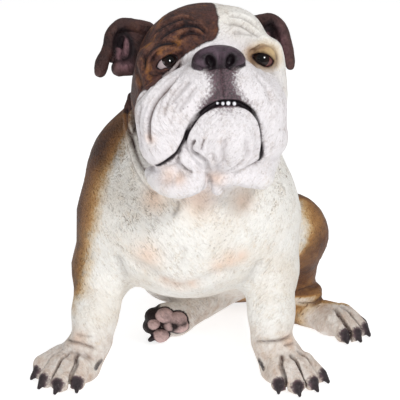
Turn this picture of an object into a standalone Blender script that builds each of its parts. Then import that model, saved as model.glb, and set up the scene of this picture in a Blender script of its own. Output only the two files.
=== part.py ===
"""A life-size garden statue of a seated bulldog, cast in one piece and resting on its paws and rump.

The figure is blocked out with balls and limbs, skinned with a voxel remesh, pulled onto the blended
form, thinned to facets and cut off flat at the ground. +Z is up and the dog faces -Y.
"""

import math

import bmesh
import bpy
import numpy as np
from mathutils import Euler, Matrix, Vector

STATUE_HEIGHT = 0.533  # ground to crown, m
UNIT = STATUE_HEIGHT / 53.3  # the figure is written in these shares of its height
SKIN_VOXEL = 0.34 * UNIT  # spacing of the skin before it is thinned
FACETS = 9500  # triangles left in the casting
PULL_ROUNDS = 5  # steps that pull the skin onto the blended form

FIGURE_SHIFT = (-1.2, -9.0, 0.0)  # puts the middle of the figure over the origin, units
HEAD_CENTRE = (1.0, -4.6, 42.9)
HEAD_PITCH = math.radians(18)  # the face looks up this far
HEAD_YAW = math.radians(8.5)  # and turns to its own left
HEAD_ROLL = math.radians(1.5)


def frame(origin=(0, 0, 0), pitch=0.0, yaw=0.0, roll=0.0):
    """A placing for forms written about their own origin, turned about Y, then X, then Z."""
    turn = Matrix.Rotation(yaw, 4, "Z") @ Matrix.Rotation(-pitch, 4, "X") @ Matrix.Rotation(roll, 4, "Y")
    return Matrix.Translation(origin) @ turn


WORLD = frame(FIGURE_SHIFT)
FACE = WORLD @ frame(HEAD_CENTRE, HEAD_PITCH, HEAD_YAW, -HEAD_ROLL)


class Ball:
    """An ellipsoid with its centre, radii and turn in a frame."""

    def __init__(self, place, centre, radii, turn=(0, 0, 0)):
        local = Matrix.Translation(centre) @ Euler([math.radians(a) for a in turn]).to_matrix().to_4x4()
        self.matrix = place @ local
        self.radii = np.array(radii, float)
        self.middle = np.array(self.matrix.translation)
        self.reach = float(max(radii))

    def distance(self, points):
        turn = np.array(self.matrix.to_3x3())
        q = (points - self.middle) @ turn
        near = np.linalg.norm(q / self.radii, axis=1)
        steep = np.linalg.norm(q / self.radii**2, axis=1)
        return near * (near - 1.0) / np.maximum(steep, 1e-9)

    def block(self, mesh):
        size = Matrix.Diagonal((*self.radii, 1.0))
        bmesh.ops.create_icosphere(mesh, subdivisions=3, radius=1.0, matrix=self.matrix @ size)


class Limb:
    """A tapered round bar between two points of a frame."""

    def __init__(self, place, start, end, start_radius, end_radius):
        self.start = np.array(place @ Vector(start))
        self.end = np.array(place @ Vector(end))
        self.start_radius = start_radius
        self.end_radius = end_radius
        self.middle = (self.start + self.end) / 2
        self.reach = float(np.linalg.norm(self.end - self.start) / 2 + max(start_radius, end_radius))

    def distance(self, points):
        along = self.end - self.start
        share = np.clip((points - self.start) @ along / (along @ along), 0.0, 1.0)
        axis = self.start + share[:, None] * along
        radius = self.start_radius + (self.end_radius - self.start_radius) * share
        return np.linalg.norm(points - axis, axis=1) - radius

    def block(self, mesh):
        steps = 5
        for i in range(steps):
            share = i / (steps - 1)
            centre = self.start + (self.end - self.start) * share
            radius = self.start_radius + (self.end_radius - self.start_radius) * share
            bmesh.ops.create_icosphere(
                mesh, subdivisions=2, radius=radius * 1.02, matrix=Matrix.Translation(centre)
            )


def curve(points, steps):
    """A smooth line through the points, each span cut in steps."""
    knots = np.array(points, float)
    padded = np.vstack([2 * knots[0] - knots[1], knots, 2 * knots[-1] - knots[-2]])
    line = []
    for i in range(1, len(padded) - 2):
        a, b, c, d = padded[i - 1 : i + 3]
        for t in np.arange(steps) / steps:
            bend = (2 * a - 5 * b + 4 * c - d) * t**2 + (3 * b - a - 3 * c + d) * t**3
            line.append(0.5 * (2 * b + (c - a) * t + bend))
    return np.array(line + [knots[-1]])


def chain(place, points, radii, soft, first_soft=None, steps=1):
    """Limbs end to end along a smooth line, each blended into the one before."""
    knots = curve([(*point, radius) for point, radius in zip(points, radii)], steps)
    forms = []
    for i in range(len(knots) - 1):
        blend = first_soft if i == 0 and first_soft is not None else soft
        start, end = knots[i], knots[i + 1]
        forms.append((Limb(place, start[:3], end[:3], start[3], end[3]), blend))
    return forms


# The trunk. Each entry is a form and how softly it blends into what is there already.
TRUNK = [
    (Ball(WORLD, (-1.7, -1.0, 21.0), (12.4, 9.8, 10.3)), 1.0),
    (Ball(WORLD, (-9.7, 0.4, 23.4), (6.4, 7.5, 8.2)), 4.0),
    (Ball(WORLD, (7.3, 0.4, 23.8), (6.4, 7.5, 8.4)), 4.0),
    (Ball(WORLD, (-1.2, 3.6, 31.0), (10.9, 8.6, 7.4)), 4.0),
    (Ball(WORLD, (-9.9, 2.0, 27.7), (5.8, 6.4, 8.1)), 3.0),
    (Limb(WORLD, (-1.0, 2.0, 31.0), (0.6, 1.4, 40.0), 9.8, 8.6), 4.0),
    (Limb(WORLD, (-1.2, -2.0, 27.0), (0.8, -4.6, 33.0), 9.6, 7.6), 3.0),
    (Limb(WORLD, (-1.5, 5.0, 26.5), (2.5, 17.0, 18.5), 9.8, 9.6), 5.0),
    (Limb(WORLD, (2.5, 17.0, 18.0), (6.0, 25.5, 11.0), 9.4, 9.2), 4.0),
    (Ball(WORLD, (0.3, 8.0, 17.0), (10.3, 10.0, 8.6)), 4.0),
    (Ball(WORLD, (6.2, 26.5, 8.4), (10.6, 8.8, 8.8)), 4.0),
    (Ball(WORLD, (5.4, 15.0, 12.0), (7.0, 8.0, 7.4)), 3.0),
    (Ball(WORLD, (6.4, 35.4, 9.0), (1.8, 2.2, 1.7)), 1.5),
]

FRONT_LEGS = (
    chain(
        WORLD,
        [(-11.9, 0.4, 21.0), (-13.8, -1.0, 14.6), (-14.8, -4.0, 9.2), (-15.3, -5.0, 5.4)],
        [5.3, 4.1, 3.05, 2.95],
        1.5,
        3.0,
    )
    + [(Ball(WORLD, (-14.6, 2.0, 15.0), (3.0, 3.4, 3.6)), 2.0)]
    + chain(
        WORLD,
        [(8.5, 0.4, 20.6), (9.8, -1.0, 14.6), (10.1, -4.0, 9.2), (10.1, -5.0, 5.4)],
        [5.3, 4.0, 3.05, 2.95],
        1.5,
        3.0,
    )
    + [(Ball(WORLD, (10.6, 2.0, 15.0), (3.0, 3.4, 3.6)), 2.0)]
)


# Claw points over the placing's origin, from the inner toe out, the toes towards -Y.
FRONT_CLAWS = [(-4.2, -6.7), (-2.2, -8.95), (0.8, -9.0), (3.85, -7.3)]
HIND_CLAWS = [(-3.3, -13.7), (-1.5, -14.9), (1.2, -14.7), (2.9, -13.2)]
FRONT_HEEL = (0.0, -0.5)
HIND_HEEL = (0.0, -6.6)
RIGHT_PAW = WORLD @ frame((-16.3, -4.2, 0.0), yaw=math.radians(-38))
LEFT_PAW = WORLD @ frame((10.9, -4.6, 0.0), yaw=math.radians(32))
LEFT_HIND_FOOT = WORLD @ frame((13.3, 16.6, 0.0), yaw=math.radians(51))


def toe(heel, claw):
    """Root, knuckle, tip, quick and claw point of one toe, on its own line out of the heel."""
    heel = np.array(heel)
    length = np.linalg.norm(claw - heel)
    out = (claw - heel) / length
    spots = []
    for back, wide, height in (
        (length - 1.0, 1.0, 2.7),
        (4.0, 1.2, 2.75),
        (1.4, 1.0, 1.16),
        (0.95, 1.0, 1.35),
        (0.0, 1.0, 0.45),
    ):
        spot = heel + out * (length - back)
        spots.append((spot[0] * wide, spot[1], height))
    return spots


def toes(place, heel, claws, radii, outward):
    """Four toes and then their claws; outward is the side of the last toe, -1 or +1."""
    lines = [toe(heel, np.array(claw) * (outward, 1)) for claw in claws]
    forms = []
    for root, knuckle, tip, _, _ in lines:
        forms += [(Limb(place, root, knuckle, radii[0], radii[1]), 0.5)]
        forms += [(Limb(place, knuckle, tip, radii[1], radii[2]), 0.2)]
    return forms + [(Limb(place, quick, point, 0.65, 0.3), 0.1) for _, _, _, quick, point in lines]


def front_paw(place, outward):
    forms = [(Ball(place, (0.0, -1.2, 2.6), (3.3, 3.4, 3.0)), 1.5)]
    forms += [(Ball(place, (0.0, -2.6, 1.2), (3.8, 3.1, 1.7)), 1.0)]
    forms += toes(place, FRONT_HEEL, FRONT_CLAWS, (1.5, 1.18, 1.08), outward)
    dewclaw = Limb(place, (-outward * 2.7, -0.4, 3.4), (-outward * 3.5, -1.9, 2.2), 0.75, 0.3)
    return forms + [(dewclaw, 0.2)]


def hind_foot(place):
    """A long foot that lies flat from heel to claws."""
    forms = [(Limb(place, (0.0, 0.0, 2.0), (0.0, -8.2, 2.0), 2.4, 2.3), 1.2)]
    forms += [(Ball(place, (-0.2, -9.0, 1.6), (3.3, 3.0, 1.9)), 1.0)]
    return forms + toes(place, HIND_HEEL, HIND_CLAWS, (1.5, 1.22, 1.1), 1)


HIND_LEGS = [
    (Limb(WORLD, (9.0, 24.0, 11.5), (13.8, 10.0, 16.2), 8.0, 4.8), 3.0),
    (Ball(WORLD, (13.5, 9.0, 16.8), (3.9, 4.8, 5.0)), 3.0),
    (Limb(WORLD, (14.1, 9.8, 15.4), (14.2, 15.0, 5.6), 4.0, 3.1), 2.0),
    (Ball(WORLD, (15.2, 14.2, 5.3), (3.4, 3.5, 1.9)), 0.7),
    (Ball(WORLD, (13.3, 17.0, 2.9), (2.9, 3.3, 3.2)), 1.5),
    (Limb(WORLD, (2.0, 24.0, 9.4), (-3.6, 13.4, 9.8), 7.4, 5.2), 3.0),
    (Ball(WORLD, (-4.4, 12.0, 9.8), (4.8, 4.6, 4.7)), 2.0),
    (Limb(WORLD, (-3.0, 12.6, 7.8), (4.6, 14.6, 6.6), 3.4, 2.6), 1.0),
    (Limb(WORLD, (5.0, 13.8, 6.4), (-2.0, 9.4, 4.0), 2.4, 2.6), 0.8),
]

# The paw that shows its sole lies between the front legs, the toes to the dog's own right.
SOLE_PAW = [
    (Ball(WORLD, (-4.05, 7.6, 3.3), (3.3, 1.7, 2.7)), 0.8),
    (Ball(WORLD, (-5.25, 7.2, 4.7), (1.5, 1.5, 1.25)), 0.4),
    (Ball(WORLD, (-6.95, 7.3, 3.9), (1.3, 1.4, 1.3)), 0.4),
    (Ball(WORLD, (-7.25, 7.3, 2.4), (1.3, 1.4, 1.2)), 0.4),
    (Ball(WORLD, (-5.85, 7.2, 1.2), (1.5, 1.5, 1.15)), 0.4),
    (Ball(WORLD, (-5.25, 6.0, 4.55), (1.25, 0.75, 1.1)), 0.05),
    (Ball(WORLD, (-6.85, 6.1, 3.1), (0.85, 0.7, 0.75)), 0.05),
    (Ball(WORLD, (-5.8, 6.0, 1.25), (1.2, 0.75, 1.0)), 0.05),
    (Ball(WORLD, (-3.3, 6.15, 3.7), (1.3, 0.85, 1.3)), 0.05),
    (Ball(WORLD, (-4.3, 6.15, 3.0), (1.1, 0.8, 0.85)), 0.6),
    (Ball(WORLD, (-3.1, 6.15, 2.8), (1.35, 0.85, 1.0)), 0.6),
    (Limb(WORLD, (-6.85, 6.3, 1.0), (-7.4, 5.7, 0.8), 0.5, 0.35), 0.1),
]


def head_side(side):
    """The paired forms of the head, on the viewer's left, -1, or right, +1."""
    return [
        (Ball(FACE, (side * 7.2, -0.8, -2.0), (3.4, 4.8, 5.2)), 2.0),
        (Ball(FACE, (side * 3.4, -3.4, 5.4), (3.9, 3.5, 3.7)), 2.0),
        (Ball(FACE, (side * 6.6, -5.0, 4.2), (2.7, 1.7, 1.2), (0, side * 20, 0)), 1.4),
        (Ball(FACE, (side * 8.7, -3.6, 1.2), (1.3, 2.3, 3.2)), 1.4),
        (Ball(FACE, (side * 5.6, -4.6, -1.2), (3.6, 3.4, 2.6)), 1.4),
    ]


LIPS = [
    (Limb(FACE, (-2.4, -8.8, -1.8), (-6.7, -8.0, -4.4), 3.3, 3.95), 2.0),
    (Limb(FACE, (-6.7, -8.0, -4.4), (-7.2, -7.1, -8.1), 3.95, 3.45), 1.5),
    (Limb(FACE, (2.4, -8.8, -1.8), (5.0, -8.0, -4.2), 3.3, 3.6), 2.0),
    (Limb(FACE, (5.0, -8.0, -4.2), (5.7, -7.0, -8.3), 3.6, 3.4), 1.5),
]

NOSE = [
    (Ball(FACE, (-0.1, -10.9, 2.0), (3.3, 2.35, 1.8)), 0.5),
    (Ball(FACE, (-2.25, -11.35, 1.6), (1.25, 1.5, 1.0)), 0.5),
    (Ball(FACE, (2.15, -11.35, 1.6), (1.25, 1.5, 1.0)), 0.5),
]

# Rose ears: the rim rises from the skull, curls over and hangs to a tip before a hollow flap.
RIGHT_EAR_RIM = [
    (-6.9, 5.6, 8.0),
    (-8.0, 5.0, 8.3),
    (-9.5, 4.5, 8.6),
    (-10.7, 4.2, 8.6),
    (-11.7, 4.1, 8.0),
    (-12.35, 4.2, 7.05),
    (-12.6, 4.3, 5.8),
    (-13.0, 4.3, 4.8),
    (-13.6, 4.2, 3.8),
    (-13.9, 4.1, 2.8),
]
LEFT_EAR_RIM = [
    (7.5, 4.8, 7.8),
    (8.9, 4.4, 8.1),
    (10.0, 4.2, 8.2),
    (10.9, 4.1, 7.6),
    (11.6, 4.2, 6.5),
    (12.0, 4.3, 4.9),
    (12.2, 4.2, 3.3),
    (12.3, 4.1, 2.1),
]
RIGHT_RIM_RADII = [0.95, 0.8, 0.8, 0.8, 0.75, 0.75, 0.75, 0.75, 0.85, 0.8]
LEFT_RIM_RADII = [1.0, 0.8, 0.75, 0.75, 0.75, 0.75, 0.75, 0.65]
RIGHT_EAR = (
    [(Ball(FACE, (-9.8, 6.2, 5.6), (3.0, 2.0, 3.0)), 1.0)]
    + chain(FACE, RIGHT_EAR_RIM, RIGHT_RIM_RADII, 0.35, 0.8, steps=2)
    + [(Limb(FACE, (-11.3, 5.0, 2.8), (-9.2, 5.6, 2.9), 1.15, 1.2), 0.5)]
)
LEFT_EAR = (
    [(Ball(FACE, (9.3, 6.2, 5.0), (2.9, 2.0, 3.4)), 1.0)]
    + chain(FACE, LEFT_EAR_RIM, LEFT_RIM_RADII, 0.35, 0.8, steps=2)
    + [(Limb(FACE, (10.4, 5.4, 2.4), (9.0, 6.0, 2.6), 1.15, 1.2), 0.5)]
)

HEAD = (
    [
        (Ball(FACE, (0.0, 1.0, 2.1), (9.3, 9.0, 8.5)), 2.0),
        (Ball(FACE, (0.0, -2.4, -6.6), (8.4, 6.6, 6.0)), 3.0),
    ]
    + head_side(-1)
    + head_side(1)
    + [
        (Ball(FACE, (0.0, -7.2, 0.6), (4.0, 4.6, 3.0)), 1.5),
        (Ball(FACE, (0.0, -8.4, -2.6), (6.0, 4.9, 4.0)), 1.5),
    ]
    + LIPS
    + [(Ball(FACE, (0.0, -10.4, -0.9), (2.8, 2.5, 2.6)), 1.0)]
    + NOSE
    + RIGHT_EAR
    + LEFT_EAR
)

EYES = [
    (Ball(FACE, (-5.97, -5.35, 2.24), (1.7, 1.7, 1.6)), 0.2),
    (Ball(FACE, (6.68, -5.35, 1.9), (1.7, 1.7, 1.6)), 0.2),
]

DEWLAP_PATH = [
    (-9.0, -4.4, -12.0),
    (-8.3, -6.0, -13.4),
    (-7.0, -7.3, -14.2),
    (-5.3, -7.8, -14.1),
    (-3.8, -7.6, -13.4),
]
CHIN = (
    [
        (Ball(FACE, (0.2, -8.9, -7.2), (5.4, 5.0, 4.8)), 0.3),
        (Ball(FACE, (0.2, -6.6, -10.0), (5.8, 4.8, 3.0)), 1.2),
        (Ball(FACE, (-4.9, -5.2, -12.3), (3.9, 3.4, 2.7)), 0.8),
        (Ball(FACE, (4.0, -5.2, -12.3), (2.9, 3.4, 2.6)), 0.8),
        (Limb(FACE, (-4.9, -9.0, -10.2), (-3.9, -8.3, -12.6), 1.15, 1.45), 0.4),
    ]
    + chain(FACE, DEWLAP_PATH, [0.9, 1.0, 1.1, 1.35, 1.65], 0.5, steps=2)
    + [
        (Limb(FACE, (1.9, -7.1, -13.1), (5.2, -6.7, -13.5), 1.3, 1.65), 0.5),
        (Limb(FACE, (-0.9, -7.8, -12.3), (-0.7, -6.3, -14.8), 0.8, 0.7), 0.5),
    ]
)

NECK_PATH = [
    (-9.3, -1.4, 39.8),
    (-9.5, -2.9, 37.3),
    (-9.2, -4.9, 34.9),
    (-8.4, -6.7, 32.2),
    (-7.0, -8.0, 30.4),
    (-5.0, -8.9, 29.0),
    (-2.5, -9.6, 28.3),
]
NECK_FOLD = chain(WORLD, NECK_PATH, [0.7, 0.9, 0.95, 1.05, 1.25, 1.35, 1.2], 0.6, steps=2)

HOLLOWS = [
    (Ball(FACE, (-1.33, -13.2, 1.55), (0.55, 1.3, 0.95), (0, -22, 0)), 0.25),
    (Ball(FACE, (1.2, -13.2, 1.5), (0.55, 1.3, 0.95), (0, 22, 0)), 0.25),
    (Ball(FACE, (-10.6, 3.5, 5.6), (1.25, 2.5, 2.3)), 0.4),
    (Ball(FACE, (9.9, 3.4, 5.2), (1.1, 2.3, 2.4)), 0.4),
]
SOCKETS = [
    (Ball(FACE, (-6.0, -7.5, 2.2), (2.1, 1.9, 1.3)), 0.8),
    (Ball(FACE, (6.7, -7.5, 1.9), (2.0, 1.9, 1.3)), 0.8),
]

GROUPS = [
    TRUNK,
    FRONT_LEGS,
    HIND_LEGS,
    hind_foot(LEFT_HIND_FOOT),
    front_paw(RIGHT_PAW, -1) + [(Limb(RIGHT_PAW, (-2.4, -2.7, 2.7), (-3.6, -5.0, 1.8), 1.6, 1.5), 0.5)],
    front_paw(LEFT_PAW, 1),
    SOLE_PAW,
    NECK_FOLD,
]


def joined(solid, forms, points):
    """The field solid with each form blended in. Points too far from a form to feel it are passed over."""
    for form, soft in forms:
        close = np.linalg.norm(points - form.middle, axis=1) - form.reach < np.minimum(solid, 60.0) + soft
        if not close.any():
            continue
        there, fresh = solid[close], form.distance(points[close])
        overlap = np.maximum(soft - np.abs(there - fresh), 0.0) / soft
        solid[close] = np.minimum(there, fresh) - overlap**2 * soft / 4
    return solid


def hollowed(solid, forms, points):
    for form, soft in forms:
        close = np.linalg.norm(points - form.middle, axis=1) - form.reach < soft + 1.0
        if not close.any():
            continue
        there, fresh = solid[close], -form.distance(points[close])
        overlap = np.maximum(soft - np.abs(there - fresh), 0.0) / soft
        solid[close] = np.maximum(there, fresh) + overlap**2 * soft / 4
    return solid


def figure(points):
    """Signed distance to the blended figure, below zero inside, in units."""
    solid = np.full(len(points), 1e3)
    for forms in GROUPS:
        solid = joined(solid, forms, points)
    solid = joined(solid, HEAD, points)
    solid = hollowed(solid, SOCKETS, points)
    for forms in (EYES, CHIN):
        solid = joined(solid, forms, points)
    return hollowed(solid, HOLLOWS, points)


def blocked_out():
    """Every form as its own closed shape, all in one mesh, in units."""
    mesh = bmesh.new()
    for forms in [*GROUPS, HEAD, EYES, CHIN]:
        for form, _ in forms:
            form.block(mesh)
    return mesh


def skinned(obj, voxel):
    """The object's mesh replaced with one even skin over its outside."""
    skin = obj.modifiers.new("skin", "REMESH")
    skin.mode = "VOXEL"
    skin.voxel_size = voxel
    fresh = bpy.data.meshes.new_from_object(obj.evaluated_get(bpy.context.evaluated_depsgraph_get()))
    obj.modifiers.remove(skin)
    obj.data = fresh


def pulled(obj):
    """Moves every vertex along its normal onto the blended figure."""
    count = len(obj.data.vertices)
    points = np.empty(count * 3)
    normals = np.empty(count * 3)
    for _ in range(PULL_ROUNDS):
        obj.data.vertices.foreach_get("co", points)
        obj.data.vertex_normals.foreach_get("vector", normals)
        gap = figure(points.reshape(-1, 3) / UNIT)
        move = np.clip(gap, -0.6, 0.6) * UNIT
        fresh = points.reshape(-1, 3) - normals.reshape(-1, 3) * move[:, None]
        obj.data.vertices.foreach_set("co", fresh.ravel())
        obj.data.update()


def detail_weights(points):
    """How closely the facets follow the form: 1 on the face, ears and paws, less over the trunk."""
    face = np.array(FACE @ Vector((0.0, -2.0, -1.0)))
    near_face = np.linalg.norm(points - face, axis=1) / 15.0
    height = points[:, 2] / 6.0
    return np.clip(1.7 - np.minimum(near_face, height), 0.0, 1.0)


def facetted(obj):
    """Thins the skin to the facets that a casting carries, densest where the form is fine."""
    count = len(obj.data.vertices)
    points = np.empty(count * 3)
    obj.data.vertices.foreach_get("co", points)
    group = obj.vertex_groups.new(name="fine")
    weights = detail_weights(points.reshape(-1, 3) / UNIT)
    for level in range(11):
        picked = np.nonzero(np.round(weights * 10) == level)[0]
        group.add(picked.tolist(), 1.0 - level * 0.09, "REPLACE")
    thin = obj.modifiers.new("thin", "DECIMATE")
    thin.ratio = FACETS / (2.0 * count)
    thin.vertex_group = group.name
    thin.vertex_group_factor = 0.12
    fresh = bpy.data.meshes.new_from_object(obj.evaluated_get(bpy.context.evaluated_depsgraph_get()))
    obj.modifiers.remove(thin)
    obj.vertex_groups.remove(group)
    obj.data = fresh


def stood_flat(obj):
    """Cuts the paws and rump off flat at the ground and centres the figure over the origin."""
    mesh = bmesh.new()
    mesh.from_mesh(obj.data)
    everything = mesh.verts[:] + mesh.edges[:] + mesh.faces[:]
    cut = bmesh.ops.bisect_plane(
        mesh, geom=everything, plane_co=(0, 0, 0), plane_no=(0, 0, 1), clear_inner=True
    )
    rim = [item for item in cut["geom_cut"] if isinstance(item, bmesh.types.BMEdge)]
    bmesh.ops.holes_fill(mesh, edges=rim, sides=0)
    bmesh.ops.triangulate(mesh, faces=mesh.faces)
    bmesh.ops.dissolve_degenerate(mesh, edges=mesh.edges, dist=0.00005)
    low = [min(v.co[axis] for v in mesh.verts) for axis in range(3)]
    high = [max(v.co[axis] for v in mesh.verts) for axis in range(3)]
    centre = ((low[0] + high[0]) / 2, (low[1] + high[1]) / 2, 0.0)
    print("middle", [round(c, 5) for c in centre], "size", [round(h - l, 4) for h, l in zip(high, low)])
    bmesh.ops.translate(mesh, vec=[-c for c in centre], verts=mesh.verts)
    bmesh.ops.recalc_face_normals(mesh, faces=mesh.faces)
    mesh.to_mesh(obj.data)
    mesh.free()


def cast_statue():
    for old in list(bpy.data.objects):
        bpy.data.objects.remove(old)
    mesh = bpy.data.meshes.new("bulldog")
    block = blocked_out()
    bmesh.ops.scale(block, vec=(UNIT, UNIT, UNIT), verts=block.verts)
    block.to_mesh(mesh)
    block.free()
    statue = bpy.data.objects.new("bulldog", mesh)
    bpy.context.scene.collection.objects.link(statue)
    skinned(statue, SKIN_VOXEL * 1.6)
    pulled(statue)
    skinned(statue, SKIN_VOXEL)
    pulled(statue)
    return statue


def resin():
    paint = bpy.data.materials.new("cast_resin")
    paint.use_nodes = True
    shader = paint.node_tree.nodes["Principled BSDF"]
    shader.inputs["Base Color"].default_value = (0.83, 0.76, 0.69, 1.0)
    shader.inputs["Roughness"].default_value = 0.5
    return paint


if __name__ == "__main__":
    statue = cast_statue()
    facetted(statue)
    stood_flat(statue)
    statue.data.materials.clear()
    statue.data.materials.append(resin())
    print(len(statue.data.vertices), len(statue.data.polygons))
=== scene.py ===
import math

import bmesh
import bpy
import numpy as np
from mathutils import Euler, Matrix, Vector
from mathutils import noise as noiseField


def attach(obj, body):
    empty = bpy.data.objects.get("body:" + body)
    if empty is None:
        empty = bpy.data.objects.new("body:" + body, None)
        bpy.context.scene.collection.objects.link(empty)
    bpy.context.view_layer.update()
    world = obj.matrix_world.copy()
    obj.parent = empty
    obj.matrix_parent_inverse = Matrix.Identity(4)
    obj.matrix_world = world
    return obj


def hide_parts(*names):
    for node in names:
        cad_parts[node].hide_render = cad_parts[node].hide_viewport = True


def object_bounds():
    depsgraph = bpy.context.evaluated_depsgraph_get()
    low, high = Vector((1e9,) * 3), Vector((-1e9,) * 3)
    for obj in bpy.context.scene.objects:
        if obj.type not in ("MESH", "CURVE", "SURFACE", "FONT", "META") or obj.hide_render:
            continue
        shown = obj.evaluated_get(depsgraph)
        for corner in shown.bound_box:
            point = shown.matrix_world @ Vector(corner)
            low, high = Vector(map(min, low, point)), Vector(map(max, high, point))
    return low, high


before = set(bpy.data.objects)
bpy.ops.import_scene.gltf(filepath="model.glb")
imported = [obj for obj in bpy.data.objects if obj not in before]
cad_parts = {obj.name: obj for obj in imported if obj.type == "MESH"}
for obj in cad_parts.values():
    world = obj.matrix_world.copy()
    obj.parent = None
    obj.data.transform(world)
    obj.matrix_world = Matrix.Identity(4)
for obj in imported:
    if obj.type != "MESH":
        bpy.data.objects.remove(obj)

cadLow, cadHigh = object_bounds()
cm = 0.01


# Placing. The figure is written in centimetres, the dog faces -Y.
def placed(origin=(0, 0, 0), pitch=0.0, yaw=0.0, roll=0.0):
    turn = Matrix.Rotation(math.radians(yaw), 4, "Z")
    turn = turn @ Matrix.Rotation(math.radians(-pitch), 4, "X")
    return Matrix.Translation(origin) @ turn @ Matrix.Rotation(math.radians(roll), 4, "Y")


body = placed()
face = placed((1.0, -4.6, 42.9), pitch=18, yaw=8.5, roll=-1.5)
leftHindFoot = placed((13.3, 16.6, 0.0), yaw=51)


class Ball:
    def __init__(self, place, centre, radii, turn=(0, 0, 0)):
        spin = Euler([math.radians(angle) for angle in turn]).to_matrix().to_4x4()
        self.matrix = place @ Matrix.Translation(centre) @ spin
        self.radii = np.array(radii, float)
        self.middle = np.array(self.matrix.translation)
        self.turn = np.array(self.matrix.to_3x3())
        self.reach = float(max(radii))

    def distance(self, points):
        q = (points - self.middle) @ self.turn
        near = np.linalg.norm(q / self.radii, axis=1)
        steep = np.linalg.norm(q / self.radii**2, axis=1)
        return near * (near - 1.0) / np.maximum(steep, 1e-9)

    def block(self, mesh):
        size = Matrix.Diagonal((*self.radii, 1.0))
        bmesh.ops.create_icosphere(mesh, subdivisions=3, radius=1.0, matrix=self.matrix @ size)


class Limb:
    def __init__(self, place, start, end, startRadius, endRadius):
        self.start = np.array(place @ Vector(start))
        self.end = np.array(place @ Vector(end))
        self.radii = (startRadius, endRadius)
        self.middle = (self.start + self.end) / 2
        half = np.linalg.norm(self.end - self.start) / 2
        self.reach = float(half + max(startRadius, endRadius))

    def distance(self, points):
        along = self.end - self.start
        share = np.clip((points - self.start) @ along / (along @ along), 0.0, 1.0)
        radius = self.radii[0] + (self.radii[1] - self.radii[0]) * share
        return np.linalg.norm(points - self.start - share[:, None] * along, axis=1) - radius

    def block(self, mesh):
        for i in range(5):  # a row of balls for the rough block
            share = i / 4
            centre = self.start + (self.end - self.start) * share
            radius = self.radii[0] + (self.radii[1] - self.radii[0]) * share
            bmesh.ops.create_icosphere(
                mesh, subdivisions=2, radius=radius * 1.02, matrix=Matrix.Translation(centre)
            )


def curve(points, steps=6):
    knots = np.array(points, float)
    padded = np.vstack([2 * knots[0] - knots[1], knots, 2 * knots[-1] - knots[-2]])
    line = []
    for i in range(1, len(padded) - 2):
        a, b, c, d = padded[i - 1 : i + 3]
        for t in np.arange(steps) / steps:
            early = 2 * b + (c - a) * t + (2 * a - 5 * b + 4 * c - d) * t**2
            line.append(0.5 * (early + (3 * b - a - 3 * c + d) * t**3))
    return np.array(line + [knots[-1]])


def chain(place, points, radii, soft, firstSoft=None, steps=1):
    knots = curve([(*point, radius) for point, radius in zip(points, radii)], steps)
    forms = []
    for i, (start, end) in enumerate(zip(knots[:-1], knots[1:])):
        blend = firstSoft if i == 0 and firstSoft is not None else soft
        forms.append((Limb(place, start[:3], end[:3], start[3], end[3]), blend))
    return forms


# Trunk. A form and how softly it blends into what is there already.
trunk = [
    (Ball(body, (-1.7, -1.0, 21.0), (12.4, 9.8, 10.3)), 1.0),
    (Ball(body, (-9.7, 0.4, 23.4), (6.4, 7.5, 8.2)), 4.0),  # right shoulder
    (Ball(body, (7.3, 0.4, 23.8), (6.4, 7.5, 8.4)), 4.0),  # left shoulder
    (Ball(body, (-1.2, 3.6, 31.0), (10.9, 8.6, 7.4)), 4.0),  # withers
    (Ball(body, (-9.9, 2.0, 27.7), (5.8, 6.4, 8.1)), 3.0),
    (Limb(body, (-1.0, 2.0, 31.0), (0.6, 1.4, 40.0), 9.8, 8.6), 4.0),
    (Limb(body, (-1.2, -2.0, 27.0), (0.8, -4.6, 33.0), 9.6, 7.6), 3.0),
    (Limb(body, (-1.5, 5.0, 26.5), (2.5, 17.0, 18.5), 9.8, 9.6), 5.0),
    (Limb(body, (2.5, 17.0, 18.0), (6.0, 25.5, 11.0), 9.4, 9.2), 4.0),
    (Ball(body, (0.3, 8.0, 17.0), (10.3, 10.0, 8.6)), 4.0),  # belly
    (Ball(body, (6.2, 26.5, 8.4), (10.6, 8.8, 8.8)), 4.0),  # rump
    (Ball(body, (5.4, 15.0, 12.0), (7.0, 8.0, 7.4)), 3.0),
    (Ball(body, (6.4, 35.4, 9.0), (1.8, 2.2, 1.7)), 1.5),  # tail
]

rightLeg = [(-11.9, 0.4, 21.0), (-13.8, -1.0, 14.6), (-14.8, -4.0, 9.2), (-15.3, -5.0, 5.4)]
leftLeg = [(8.5, 0.4, 20.6), (9.8, -1.0, 14.6), (10.1, -4.0, 9.2), (10.1, -5.0, 5.4)]
frontLegs = (
    chain(body, rightLeg, [5.3, 4.1, 3.05, 2.95], 1.5, 3.0)
    + [(Ball(body, (-14.6, 2.0, 15.0), (3.0, 3.4, 3.6)), 2.0)]
    + chain(body, leftLeg, [5.3, 4.0, 3.05, 2.95], 1.5, 3.0)
    + [(Ball(body, (10.6, 2.0, 15.0), (3.0, 3.4, 3.6)), 2.0)]
)

# A front paw stands over its placing's origin with the toes towards -Y. Its claw points run from
# the inner toe out.
clawPoints = [(-4.2, -6.7), (-2.2, -8.95), (0.8, -9.0), (3.85, -7.3)]
pawSizes = {
    "right": {
        "place": placed((-16.3, -4.2, 0.0), yaw=-38),
        "outward": -1,
        "claws": clawPoints,
        "heel": (0.0, -0.5),
    },
    "left": {
        "place": placed((10.9, -4.6, 0.0), yaw=32),
        "outward": 1,
        "claws": clawPoints,
        "heel": (0.0, -0.5),
    },
    "hind": {
        "place": leftHindFoot,
        "outward": 1,
        "claws": [(-3.3, -13.7), (-1.5, -14.9), (1.2, -14.7), (2.9, -13.2)],
        "heel": (0.0, -6.6),
    },
}


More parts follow.
